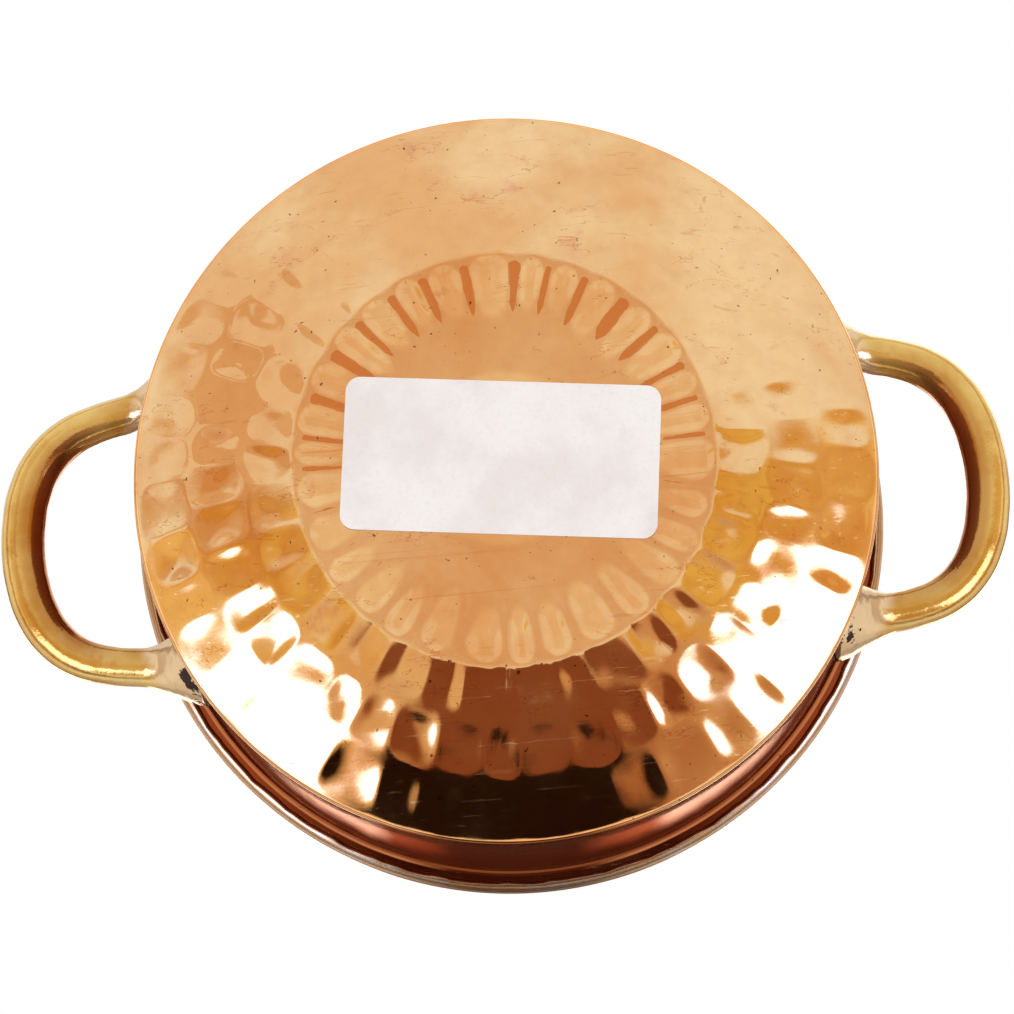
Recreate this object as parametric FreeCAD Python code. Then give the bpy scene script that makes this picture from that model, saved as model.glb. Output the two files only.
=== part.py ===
import FreeCAD, Part
import math
import os

from FreeCAD import Vector

os.makedirs("parts", exist_ok=True)

# Millimetres. The pot's axis is Z, its base stands on Z = 0, its mouth is up and its handles lie along X.

# Spun body: the outer face of the copper
rim_radius = 64.0
pot_height = 49.6
edge_inside_rim = 3.0      # the widest edge lies this much inside the rim
edge_height = 11.4
edge_round = 0.9           # outside radius of that edge
waist_inside_edge = 3.3    # depth of the neck at its narrow part
waist_share = 0.585        # height of the narrow part, as a share of the pot's
base_radius = 33.9         # flat base, out to where the hammered wall starts
rest_width = 0.7           # flat ring on which the pot stands, round the base
base_lift = 0.3            # the middle of the base is raised by this much inside the ring
wall_bulge = 1.3           # how far the hammered wall bows out between base and edge

# Sheet and rim
copper_wall = 0.8
liner_wall = 0.6
liner_gap = 0.05           # between the steel liner and the copper it is pressed into
lip_angle = 42.0           # the copper's turned-out lip, above the horizontal
lip_length = 3.1
hem_length = 1.3           # how far the steel is folded back under the lip
liner_corner = 2.6         # depth below the copper's face of the centre the liner's edge bends round

# Straight steps that stand for each curved line
wall_count = 2
edge_count = 2
neck_count = 4
liner_edge_count = 1
rolled_lip_count = 3
handle_corner_count = 3

# Hammer marks
seam_shares = (0, 0.31, 0.642, 0.96)    # circles between rows of marks, from the base to the widest edge
row_counts = (34, 42, 44)               # marks in each row, from the base outwards
petal_count = 30
petal_inner_share = 0.667  # where the long marks of the base start, as a share of its radius
petal_deep_share = 0.87    # where they are deepest
petal_depth = 0.36

# Cast handles
handle_out = 21.2          # the grip reaches this far past the rim
handle_share = 0.706       # height of the middle of the feet, as a share of the pot's
handle_rise = 9.0          # degrees, the loop leans up towards the mouth
grip_width = 7.5
grip_thickness = 6.8
leg_width = 6.5
leg_thickness = 6.4
grip_bow = 32.0            # radius of the grip's middle line
grip_half = 10.4           # half length of the bowed grip
corner_radius = 16.0
leg_splay = 10.0           # degrees, the legs spread towards the pot
foot_width = 11.2
foot_thickness = 12.4
foot_flare = 6.5           # length over which a leg spreads into its foot
foot_steps = ((0.6, 0.16), (0.22, 0.6))  # distance from the neck and spread, as shares of the flare
foot_sink = 2.5            # the casting runs this far past the neck before it is cut to it
foot_sink_spread = 1.15
braze_gap = 0.02           # between a foot and the neck it is brazed to
oval_sides = 16            # straight sides of each oval section of the casting

# Paper label under the base
label_length = 50.8
label_width = 25.2
label_corner = 2.4
label_thickness = 0.12
label_turn = 7.1           # degrees from the line of the handles
label_gap = 0.01


def on_circle(center, radius, toward):
    # point of the circle on the ray from its centre towards another point
    step = toward.sub(center)
    step.normalize()
    return center.add(step.multiply(radius))


def circles_meet(center_a, radius_a, center_b, radius_b, near):
    # crossing of two circles in the XZ plane, the one closer to a given point
    between = center_b.sub(center_a)
    span = between.Length
    along = (span ** 2 + radius_a ** 2 - radius_b ** 2) / (2 * span)
    aside = math.sqrt(radius_a ** 2 - along ** 2)
    foot = center_a.add(between.multiply(along / span))
    side = Vector(-between.z, 0, between.x)
    side.normalize()
    side.multiply(aside)
    crossings = (foot.add(side), foot.sub(side))
    return min(crossings, key=lambda point: point.distanceToPoint(near))


def circle_at_height(center, radius, height):
    # outer crossing of a circle in the XZ plane with a level line
    return Vector(center.x + math.sqrt(radius ** 2 - (height - center.z) ** 2), 0, height)


def circle_through(start, middle, end):
    circle = Part.Arc(start, middle, end).toShape().Curve
    return circle.Center, circle.Radius


def arc_points(center, start, end, count):
    # points of an arc in the XZ plane that cut it into equal steps, without its start
    radius = start.sub(center).Length
    turn_start = math.atan2(start.z - center.z, start.x - center.x)
    turn_end = math.atan2(end.z - center.z, end.x - center.x)
    swing = math.remainder(turn_end - turn_start, 2 * math.pi)
    points = []
    for index in range(1, count + 1):
        turn = turn_start + swing * index / count
        points.append(center.add(Vector(math.cos(turn), 0, math.sin(turn)) * radius))
    return points


# Sizes that follow from those above
edge_radius = rim_radius - edge_inside_rim
waist_radius = edge_radius - waist_inside_edge
dish_radius = base_radius - rest_width
seam_radii = [base_radius + (edge_radius - base_radius) * share for share in seam_shares]
handle_reach = rim_radius + handle_out
handle_height = pot_height * handle_share

# Driving points of the outer face, in the XZ plane
lip_line = Vector(math.cos(math.radians(lip_angle)), 0, math.sin(math.radians(lip_angle)))
lip_normal = Vector(lip_line.z, 0, -lip_line.x)
bead_radius = copper_wall / 2 + liner_gap + liner_wall
bead_center = Vector(rim_radius - bead_radius, 0, pot_height - bead_radius)
lip_end = bead_center.add(lip_normal * (copper_wall / 2))
lip_start = lip_end.sub(lip_line * lip_length)
base_edge = Vector(base_radius, 0, 0)
wide_edge = Vector(edge_radius, 0, edge_height)
waist = Vector(waist_radius, 0, pot_height * waist_share)

# Circles on which the wall and the neck lie
wall_chord = wide_edge.sub(base_edge)
wall_out = Vector(wall_chord.z, 0, -wall_chord.x).normalize()
wall_middle = base_edge.add(wall_chord * 0.5).add(wall_out * wall_bulge)
wall_center, wall_radius = circle_through(base_edge, wall_middle, wide_edge)
neck_center, neck_radius = circle_through(wide_edge, waist, lip_start)


def edge_center(depth):
    # where the wall's and the neck's circles cross at a depth below the outer face
    return circles_meet(wall_center, wall_radius - depth, neck_center, neck_radius + depth, wide_edge)


def lip_foot(inset):
    # where the neck's circle meets the straight lip
    top = lip_start.sub(lip_normal * inset)
    fall = neck_center.sub(top)
    back = fall.dot(lip_line)
    gap = fall.sub(lip_line * back).Length
    reach = back - math.sqrt((neck_radius + inset) ** 2 - gap ** 2)
    return top.add(lip_line * reach)


def upper_line(inset, bend_depth, bend_count):
    # section points from the widest edge up the neck to the lip's end, at a depth below the outer face;
    # the edge is bent round a centre that lies at a depth of its own
    bend = edge_center(bend_depth)
    if bend_depth > inset:
        wall_end = on_circle(wall_center, wall_radius - inset, bend)
        neck_start = on_circle(neck_center, neck_radius + inset, bend)
        points = [wall_end] + arc_points(bend, wall_end, neck_start, bend_count)
    else:
        points = [edge_center(inset)]
    points += arc_points(neck_center, points[-1], lip_foot(inset), neck_count)
    return points + [lip_end.sub(lip_normal * inset)]


def bowl_line(inset, wall_end):
    # section points of the flat base and the wall at a depth below the outer face
    start = circle_at_height(wall_center, wall_radius - inset, base_lift + inset)
    return [start] + arc_points(wall_center, start, wall_end, wall_count)


def spun(points):
    # solid between two flat discs whose side follows steep section points
    rings = []
    for point in points:
        circle = Part.Circle(Vector(0, 0, point.z), Vector(0, 0, 1), point.x)
        rings.append(Part.Wire(circle.toBSpline().toShape()))
    return Part.makeLoft(rings, True, True)


def spun_bowl(points):
    # the same of cones, for section points that lie well apart from the axis outwards
    rings = [
        Part.Wire(Part.makeCircle(point.x, Vector(0, 0, point.z)))
        for point in points
    ]
    return Part.makeLoft(rings, True, True)


def filled_form(inset):
    # bowl and neck of everything inside the sheet's face at a depth
    upper = upper_line(inset, inset, 0)
    return [spun_bowl(bowl_line(inset, upper[0])), spun(upper)]


def wall_point(radius):
    # point of the hammered wall at a distance from the axis
    drop = math.sqrt(wall_radius ** 2 - (radius - wall_center.x) ** 2)
    return Vector(radius, 0, wall_center.z - drop)


def faceted(rings):
    # solid with flat faces through rings of corners; a side that isn't flat is split in two
    flat_within = 1e-7
    faces = [Part.Face(Part.makePolygon(ring + ring[:1])) for ring in (rings[0], rings[-1])]
    for low, high in zip(rings, rings[1:]):
        for index in range(len(low)):
            side = [low[index - 1], low[index], high[index], high[index - 1]]
            normal = side[1].sub(side[0]).cross(side[2].sub(side[0])).normalize()
            if abs(normal.dot(side[3].sub(side[0]))) < flat_within:
                pieces = [side]
            else:
                pieces = [side[:3], [side[0], side[2], side[3]]]
            for piece in pieces:
                faces.append(Part.Face(Part.makePolygon(piece + piece[:1])))
    shell = Part.makeShell(faces)
    shell.sewShape()
    solid = Part.makeSolid(shell)
    if solid.Volume < 0:
        solid.reverse()
    return solid


def corner_ring(radius, heights, count):
    # ring of corners that take the given heights in turn
    corners = []
    for index in range(count):
        angle = 2 * math.pi * index / count
        height = heights[index % len(heights)]
        corners.append(Vector(radius * math.cos(angle), radius * math.sin(angle), height))
    return corners


def hammered_row(inner, outer, count):
    # slice of the wall between two seams with one flat for each hammer mark
    rings = []
    for point in (wall_point(inner), wall_point(outer)):
        rings.append(corner_ring(point.x, [point.z], count))
    return faceted(rings)


def base_cutter():
    # sinks the base inside the rest ring, with one long radial mark for each petal
    corners = 2 * petal_count
    rings = [
        corner_ring(dish_radius, [0], corners),
        corner_ring(base_radius * petal_deep_share, [base_lift, base_lift + petal_depth], corners),
        corner_ring(base_radius * petal_inner_share, [base_lift], corners),
    ]
    return faceted(rings)


def make_copper_body():
    shoulder = wall_point(seam_radii[-1])
    lip_inside = lip_end.sub(lip_normal * copper_wall)
    upper = spun([shoulder] + upper_line(0, edge_round, edge_count) + [lip_inside])
    rows = [
        hammered_row(inner, outer, count)
        for inner, outer, count in zip(seam_radii, seam_radii[1:], row_counts)
    ]
    form = upper.fuse(rows)
    return form.cut(filled_form(copper_wall) + [base_cutter()])


def make_steel_liner():
    # one sheet: bowl, neck and lip inside the copper, rolled over the lip's end and back under it
    outer_inset = copper_wall + liner_gap
    inner_inset = outer_inset + liner_wall
    outer_line = upper_line(outer_inset, liner_corner, liner_edge_count)
    inner_line = upper_line(inner_inset, liner_corner, liner_edge_count)
    pocket = copper_wall / 2 + liner_gap
    pocket_end = bead_center.add(lip_line * pocket)
    hem_end = bead_center.add(lip_normal * pocket).sub(lip_line * hem_length)
    rolled = []
    for index in range(rolled_lip_count):
        turn = math.radians(lip_angle - 90 + 180 * index / rolled_lip_count)
        rolled.append(bead_center.add(Vector(math.cos(turn), 0, math.sin(turn)) * bead_radius))
    hem = [
        pocket_end.sub(lip_normal * pocket),
        pocket_end.add(lip_normal * pocket),
        hem_end,
        hem_end.add(lip_normal * liner_wall),
    ]
    upper = spun(outer_line[:-1] + hem + rolled + inner_line[::-1])
    bowl = spun_bowl(bowl_line(outer_inset, outer_line[0]))
    bowl_inside = spun_bowl(bowl_line(inner_inset, inner_line[0]))
    return upper.fuse(bowl).cut(bowl_inside)


def handle_stations():
    # middle line of half a loop, from the top of the grip to inside the neck wall:
    # point, direction, width in the loop's plane and thickness across it
    crown = handle_reach - grip_width / 2
    bow_center = Vector(crown - grip_bow, 0, 0)
    bow_turn = math.asin(grip_half / grip_bow)
    leg_turn = math.radians(90 - leg_splay)
    toward = Vector(math.cos(bow_turn), math.sin(bow_turn), 0)
    corner_center = bow_center.add(toward * (grip_bow - corner_radius))
    stations = []
    for turn in (0, bow_turn):
        out = Vector(math.cos(turn), math.sin(turn), 0)
        stations.append((bow_center.add(out * grip_bow), turn, grip_width, grip_thickness))
    for index in range(1, handle_corner_count + 1):
        share = index / handle_corner_count
        turn = bow_turn + (leg_turn - bow_turn) * share
        out = Vector(math.cos(turn), math.sin(turn), 0)
        width = grip_width + (leg_width - grip_width) * share
        thickness = grip_thickness + (leg_thickness - grip_thickness) * share
        stations.append((corner_center.add(out * corner_radius), turn, width, thickness))
    leg_start = stations[-1][0]
    leg_line = Vector(-math.sin(leg_turn), math.cos(leg_turn), 0)
    seat = math.sqrt(waist_radius ** 2 - leg_start.y ** 2)
    leg_length = (leg_start.x - seat) / math.sin(leg_turn)
    steps = [(foot_flare * share, spread) for share, spread in foot_steps]
    for back, spread in steps + [(-foot_sink, foot_sink_spread)]:
        point = leg_start.add(leg_line * (leg_length - back))
        width = leg_width + (foot_width - leg_width) * spread
        thickness = leg_thickness + (foot_thickness - leg_thickness) * spread
        stations.append((point, leg_turn, width, thickness))
    return stations


def oval_section(point, turn, width, thickness):
    # corners of an oval across the loop's middle line
    out = Vector(math.cos(turn), math.sin(turn), 0)
    points = []
    for index in range(oval_sides):
        angle = 2 * math.pi * (index + 0.5) / oval_sides
        across = out * (width / 2 * math.cos(angle))
        points.append(point.add(across).add(Vector(0, 0, thickness / 2 * math.sin(angle))))
    return points


def make_handle():
    half = handle_stations()
    other = [
        (Vector(point.x, -point.y, 0), -turn, width, thickness)
        for point, turn, width, thickness in half[1:]
    ]
    stations = half[::-1] + other
    loop = faceted([oval_section(*station) for station in stations])
    seat = Vector(waist_radius, 0, 0)
    loop.rotate(seat, Vector(0, 1, 0), -handle_rise)
    loop.translate(Vector(0, 0, handle_height))
    return loop.cut(filled_form(-braze_gap))


def make_paper_label():
    # flat sheet with rounded corners just under the sunk base
    label = Part.makeBox(label_length, label_width, label_thickness)
    top = base_lift - label_gap
    label.translate(Vector(-label_length / 2, -label_width / 2, top - label_thickness))
    uprights = [
        edge for edge in label.Edges
        if abs(edge.tangentAt(edge.FirstParameter).z) > 0.99
    ]
    label = label.makeFillet(label_corner, uprights)
    label.rotate(Vector(0, 0, 0), Vector(0, 0, 1), label_turn)
    return label


handle_right = make_handle()
handle_left = handle_right.copy()
handle_left.rotate(Vector(0, 0, 0), Vector(0, 0, 1), 180)

nodes = {
    "copper_body": make_copper_body(),
    "steel_liner": make_steel_liner(),
    "handle_right": handle_right,
    "handle_left": handle_left,
    "paper_label": make_paper_label(),
}

for name, shape in nodes.items():
    solids = shape.Solids
    print(name, len(solids), "solid", round(shape.Volume / 1000, 3), "cm3", "valid", shape.isValid())
    shape.exportStep("parts/" + name + ".step")
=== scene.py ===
import bpy
import math
import numpy as np
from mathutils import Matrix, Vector


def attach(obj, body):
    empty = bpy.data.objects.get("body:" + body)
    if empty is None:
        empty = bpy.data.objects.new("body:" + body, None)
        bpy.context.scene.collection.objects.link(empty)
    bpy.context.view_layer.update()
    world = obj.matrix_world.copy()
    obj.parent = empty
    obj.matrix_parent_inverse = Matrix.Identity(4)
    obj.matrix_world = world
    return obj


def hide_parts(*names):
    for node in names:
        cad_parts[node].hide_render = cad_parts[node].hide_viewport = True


# Hammered copper handi with a steel lining and brass loops, seen from below.
# Sizes in millimetres up to the mesh, then metres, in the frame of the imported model.

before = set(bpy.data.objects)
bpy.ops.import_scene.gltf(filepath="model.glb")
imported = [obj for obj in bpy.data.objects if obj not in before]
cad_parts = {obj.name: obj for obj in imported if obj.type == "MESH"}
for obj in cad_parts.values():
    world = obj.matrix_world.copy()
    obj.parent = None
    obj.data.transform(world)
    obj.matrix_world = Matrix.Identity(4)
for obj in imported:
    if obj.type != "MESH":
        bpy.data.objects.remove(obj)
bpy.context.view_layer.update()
mm = 0.001


# helpers for the section drawing, in distance from the axis and height
def through(first, second, third):
    # centre and radius of the circle through three points
    (ax, ay), (bx, by), (cx, cy) = first, second, third
    d = 2 * (ax * (by - cy) + bx * (cy - ay) + cx * (ay - by))
    a2, b2, c2 = ax * ax + ay * ay, bx * bx + by * by, cx * cx + cy * cy
    x = (a2 * (by - cy) + b2 * (cy - ay) + c2 * (ay - by)) / d
    y = (a2 * (cx - bx) + b2 * (ax - cx) + c2 * (bx - ax)) / d
    return (x, y), math.hypot(ax - x, ay - y)


def crossing(centreA, radiusA, centreB, radiusB, near):
    # the point where two circles cross, on the side of another point
    dx, dy = centreB[0] - centreA[0], centreB[1] - centreA[1]
    span = math.hypot(dx, dy)
    along = (span ** 2 + radiusA ** 2 - radiusB ** 2) / (2 * span)
    aside = math.sqrt(radiusA ** 2 - along ** 2)
    foot = (centreA[0] + dx * along / span, centreA[1] + dy * along / span)
    both = [(foot[0] - s * dy * aside / span, foot[1] + s * dx * aside / span) for s in (1, -1)]
    return min(both, key=lambda p: math.hypot(p[0] - near[0], p[1] - near[1]))


def towards(centre, radius, point):
    dx, dy = point[0] - centre[0], point[1] - centre[1]
    size = math.hypot(dx, dy)
    return (centre[0] + dx * radius / size, centre[1] + dy * radius / size)


def arc(centre, start, end, steps):
    # points along an arc after its start
    radius = math.hypot(start[0] - centre[0], start[1] - centre[1])
    a = math.atan2(start[1] - centre[1], start[0] - centre[0])
    swing = math.remainder(math.atan2(end[1] - centre[1], end[0] - centre[0]) - a, 2 * math.pi)
    return [(centre[0] + radius * math.cos(a + swing * i / steps),
             centre[1] + radius * math.sin(a + swing * i / steps)) for i in range(1, steps + 1)]


def line(start, end, steps):
    return [(start[0] + (end[0] - start[0]) * i / steps,
             start[1] + (end[1] - start[1]) * i / steps) for i in range(1, steps + 1)]


# helpers for numbers
def grow(value, start, end):
    # 0 at the start, 1 at the end and after it
    return np.clip((value - start) / (end - start), 0, 1)


def ease(share):
    return share * share * (3 - 2 * share)


# helpers for meshes
def onlySelect(piece):
    bpy.ops.object.select_all(action="DESELECT")
    piece.select_set(True)
    bpy.context.view_layer.objects.active = piece


def drawn(name, section):
    # a line of section points, drawn by extruding one corner of a plane from point to point
    bpy.ops.object.select_all(action="DESELECT")
    bpy.ops.mesh.primitive_plane_add(size=mm, location=(0, 0, 0))
    piece = bpy.context.object
    piece.name = name
    bpy.ops.object.mode_set(mode="EDIT")
    bpy.ops.mesh.select_all(action="SELECT")
    bpy.ops.mesh.merge(type="CENTER")
    r, z = section[0]
    bpy.ops.transform.translate(value=(r * mm, 0, z * mm))
    for (r0, z0), (r1, z1) in zip(section, section[1:]):
        step = ((r1 - r0) * mm, 0, (z1 - z0) * mm)
        bpy.ops.mesh.extrude_region_move(TRANSFORM_OT_translate={"value": step})
    return piece


def spun(name, section, steps):
    piece = drawn(name, section)
    bpy.ops.mesh.select_all(action="SELECT")
    bpy.ops.mesh.spin(steps=steps, angle=2 * math.pi, center=(0, 0, 0), axis=(0, 0, 1))
    bpy.ops.mesh.select_all(action="SELECT")
    bpy.ops.mesh.remove_doubles(threshold=0.002 * mm)
    bpy.ops.mesh.normals_make_consistent(inside=False)
    bpy.ops.object.mode_set(mode="OBJECT")
    bpy.ops.object.shade_smooth()
    return piece


def getPoints(piece):
    co = np.empty(len(piece.data.vertices) * 3)
    piece.data.vertices.foreach_get("co", co)
    return co.reshape(-1, 3) / mm


def movePoints(piece, co):
    piece.data.vertices.foreach_set("co", (co * mm).ravel())
    piece.data.update()


def paintPoints(piece, name, values):
    # one number for each corner of the mesh, for the material to read
    layer = piece.data.attributes.new(name, "FLOAT", "POINT")
    layer.data.foreach_set("value", np.asarray(values, dtype=np.float32))


# helpers for materials
def newMaterial(name):
    material = bpy.data.materials.new(name)
    material.use_nodes = True
    tree = material.node_tree
    return material, tree, tree.nodes["Principled BSDF"]


def node(tree, kind, values=None, **settings):
    made = tree.nodes.new(kind)
    for key, value in settings.items():
        setattr(made, key, value)
    for key, value in (values or {}).items():
        made.inputs[key].default_value = value
    return made


def join(tree, *pairs):
    for start, end in pairs:
        tree.links.new(start, end)


def rgb(red, green, blue):
    # a colour as a picture program shows it, 0 to 255
    shares = (c / 255 for c in (red, green, blue))
    return tuple(((c + 0.055) / 1.055) ** 2.4 if c > 0.0393 else c / 12.92 for c in shares) + (1,)


def shades(piece):
    return {name: rgb(*colour) for name, colour in piece["look"].items()}


def objectPlace(tree):
    return node(tree, "ShaderNodeTexCoord").outputs["Object"]


def parts(tree, vector):
    made = node(tree, "ShaderNodeSeparateXYZ")
    join(tree, (vector, made.inputs[0]))
    return made.outputs


def painted(tree, name):
    return node(tree, "ShaderNodeAttribute", attribute_name=name).outputs["Fac"]


def noise(tree, vector, scale, detail=3.0, rough=0.5):
    made = node(tree, "ShaderNodeTexNoise", {"Scale": scale, "Detail": detail, "Roughness": rough})
    join(tree, (vector, made.inputs["Vector"]))
    return made.outputs["Fac"]


def stretch(tree, vector, scale, turn=(0, 0, 0)):
    made = node(tree, "ShaderNodeMapping", {"Scale": scale, "Rotation": turn})
    join(tree, (vector, made.inputs["Vector"]))
    return made.outputs["Vector"]


def band(tree, value, low, high, bottom=0.0, top=1.0, smooth=True):
    # goes from bottom to top while the value goes from low to high
    made = node(tree, "ShaderNodeMapRange",
                {"From Min": low, "From Max": high, "To Min": bottom, "To Max": top})
    made.interpolation_type = "SMOOTHSTEP" if smooth else "LINEAR"
    join(tree, (value, made.inputs["Value"]))
    return made.outputs["Result"]


def maths(tree, how, a, b=0):
    made = node(tree, "ShaderNodeMath", operation=how)
    for socket, value in zip(made.inputs, (a, b)):
        if isinstance(value, (int, float)):
            socket.default_value = value
        else:
            tree.links.new(value, socket)
    return made.outputs["Value"]


def times(tree, first, *others):
    for other in others:
        first = maths(tree, "MULTIPLY", first, other)
    return first


def plus(tree, first, *others):
    for other in others:
        first = maths(tree, "ADD", first, other)
    return first


def awayFrom(tree, value, middle):
    return maths(tree, "ABSOLUTE", maths(tree, "SUBTRACT", value, middle))


def blend(tree, share, a, b, how="MIX"):
    made = node(tree, "ShaderNodeMix", data_type="RGBA", blend_type=how)
    for socket, value in ((made.inputs[0], share), (made.inputs[6], a), (made.inputs[7], b)):
        if isinstance(value, (int, float, tuple)):
            socket.default_value = value
        else:
            tree.links.new(value, socket)
    return made.outputs[2]


def bumpy(tree, shader, height, strength, distance):
    made = node(tree, "ShaderNodeBump", {"Strength": strength, "Distance": distance})
    join(tree, (height, made.inputs["Height"]), (made.outputs["Normal"], shader.inputs["Normal"]))


# sheet sizes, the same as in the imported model
sheet = {
    "base": 33.9, "lift": 0.3,
    "edge": (61.0, 11.4), "edgeRound": 0.9, "bulge": 1.3,
    "waist": (57.7, 29.0), "rim": 64.0, "height": 49.6,
    "copper": 0.8, "steel": 0.6, "gap": 0.05,
    "lipAngle": 42.0, "lipLength": 3.1, "hem": 1.3, "linerCorner": 2.6,
}

lipUnit = (math.cos(math.radians(sheet["lipAngle"])), math.sin(math.radians(sheet["lipAngle"])))
lipOut = (lipUnit[1], -lipUnit[0])
beadRadius = sheet["copper"] / 2 + sheet["gap"] + sheet["steel"]
bead = (sheet["rim"] - beadRadius, sheet["height"] - beadRadius)


def shift(point, along, out):
    # a point moved along the lip and square to it
    return (point[0] + lipUnit[0] * along + lipOut[0] * out,
            point[1] + lipUnit[1] * along + lipOut[1] * out)


lipEnd = shift(bead, 0, sheet["copper"] / 2)
lipStart = shift(lipEnd, -sheet["lipLength"], 0)
chord = (sheet["edge"][0] - sheet["base"], sheet["edge"][1])
chordLength = math.hypot(*chord)
wallMid = (sheet["base"] + chord[0] / 2 + chord[1] / chordLength * sheet["bulge"],
           chord[1] / 2 - chord[0] / chordLength * sheet["bulge"])
wallCentre, wallRadius = through((sheet["base"], 0), wallMid, sheet["edge"])
neckCentre, neckRadius = through(sheet["edge"], sheet["waist"], lipStart)


def wallHeight(r):
    # height of the smooth wall over the table, also for a row of distances
    return wallCentre[1] - np.sqrt(np.maximum(wallRadius ** 2 - (r - wallCentre[0]) ** 2, 0))


def wallReach(z, inset=0.0):
    return wallCentre[0] + math.sqrt((wallRadius - inset) ** 2 - (z - wallCentre[1]) ** 2)


def neckReach(z):
    return neckCentre[0] - np.sqrt(np.maximum(neckRadius ** 2 - (z - neckCentre[1]) ** 2, 0))


def lipFoot(inset):
    top = shift(lipStart, 0, -inset)
    fx, fz = neckCentre[0] - top[0], neckCentre[1] - top[1]
    back = fx * lipUnit[0] + fz * lipUnit[1]
    gap = math.hypot(fx - lipUnit[0] * back, fz - lipUnit[1] * back)
    return shift(top, back - math.sqrt((neckRadius + inset) ** 2 - gap ** 2), 0)


def edgeCentre(depth):
    return crossing(wallCentre, wallRadius - depth, neckCentre, neckRadius + depth, sheet["edge"])


def sideLine(inset, depth, start, wallSteps, bendSteps, neckSteps, lipSteps):
    # wall from a start point, round the edge, up the neck and out along the lip
    bend = edgeCentre(max(depth, inset))
    wallEnd = towards(wallCentre, wallRadius - inset, bend)
    made = [start] + arc(wallCentre, start, wallEnd, wallSteps)
    if depth > inset:
        neckStart = towards(neckCentre, neckRadius + inset, bend)
        made += arc(bend, wallEnd, neckStart, bendSteps)
    made += arc(neckCentre, made[-1], lipFoot(inset), neckSteps)
    return made + line(made[-1], shift(lipEnd, 0, -inset), lipSteps)


# hammered copper
hammer = {
    "steps": 528, "seed": 12,
    "seams": (33.9, 42.3, 51.3, 59.9),      # circles between the rows of marks
    "seamDrift": (0.0, 0.3, 0.3, 0.12), "seamWaves": (17, 29, 41),
    "marks": (34, 42, 44), "phase": (0.15, 0.4, 0.7),
    "depth": 0.22, "unlike": 0.35,           # depth in the middle of a mark, and how much that varies
    "uneven": 2.2,                           # tilt of a mark in degrees
    "drift": 0.12, "driftWaves": (13, 31, 23),   # how far borders between marks wander
    "skew": 0.10, "skewWaves": (11, 19, 27),
    "wave": 0.045,                           # how wavy the sheet is
    "ripples": ((9, 0.35, 0), (14, -0.52, 1), (23, 0.9, 2)),
    "flat": (0, 6, 11, 15), "flatTo": 26, "ring": 33.5, "ringSteps": 32,
    "petal": {
        "count": 30, "from": 21.5, "to": 34.3, "depth": 0.36,
        "wander": 0.16, "waves": (7, 11, 19), "offset": 3,
        "inner": 14.9, "outer": 36,          # only this part of the base is pressed
        "uneven": (0.35, 1.5, 0.25),         # in outer end, inner end and depth
        "rounded": 1.7, "farFade": 2.2, "nearFade": 9.0,
        "grooveIn": (22, 26), "grooveOut": (33.2, 32.4), "calmIn": (15, 21), "calmOut": (33, 30),
        "drawnIn": 0.16, "corner": 0.04,     # rise of the corner of the base between two petals
        "cornerAt": 0.2, "cornerIn": 2.6, "cornerOut": 7.0,
    },
    "neckRed": (0.0125, 0.017),              # heights in metres between which the neck turns redder
    "look": {
        # groove is the colour of the painted shade between the petals, and of a fine mottle
        "pale": (240, 203, 150), "warm": (230, 177, 120), "deep": (196, 118, 72), "groove": (200, 130, 80),
        # the first colour on the next line is that of the painted reflection in the grooves
        "grooveReflection": (208, 124, 62), "pink": (216, 140, 112), "neck": (176, 96, 58), "soot": (44, 24, 16),
    },
}
petal = hammer["petal"]


def sink(co, which, r, depth):
    # push part of the wall inwards, square to its face
    out = (r[which] - wallCentre[0]) / wallRadius
    down = (co[which, 2] - wallCentre[1]) / wallRadius
    co[which, 0] -= co[which, 0] / r[which] * out * depth
    co[which, 1] -= co[which, 1] / r[which] * out * depth
    co[which, 2] -= down * depth


def wander(turn, waves, offset):
    # smooth wobble that closes after a whole turn
    return sum(np.sin(2 * math.pi * k * turn + offset * k) / n for n, k in enumerate(waves, 1)) / 1.6


def petalPlace(turn):
    # counts petals round the base, with their uneven widths
    return turn * petal["count"] + petal["wander"] * wander(turn, petal["waves"], petal["offset"])


def copperSection():
    lift, inset = sheet["lift"], sheet["copper"]
    flatEnd = hammer["flat"][-1]
    outside = [(r, lift) for r in hammer["flat"]]
    for i in range(1, hammer["ringSteps"] + 1):
        r = flatEnd + (hammer["ring"] - flatEnd) * i / hammer["ringSteps"]
        fall = min(max((r - hammer["flatTo"]) / (hammer["ring"] - hammer["flatTo"]), 0), 1)
        outside.append((r, lift * (1 - ease(fall))))
    outside += sideLine(0, sheet["edgeRound"], (sheet["base"], 0), 40, 6, 30, 5)
    inside = sideLine(inset, inset, (wallReach(lift + inset, inset), lift + inset), 8, 0, 14, 2)
    return outside + inside[::-1] + [(0, lift + inset)]


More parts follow.
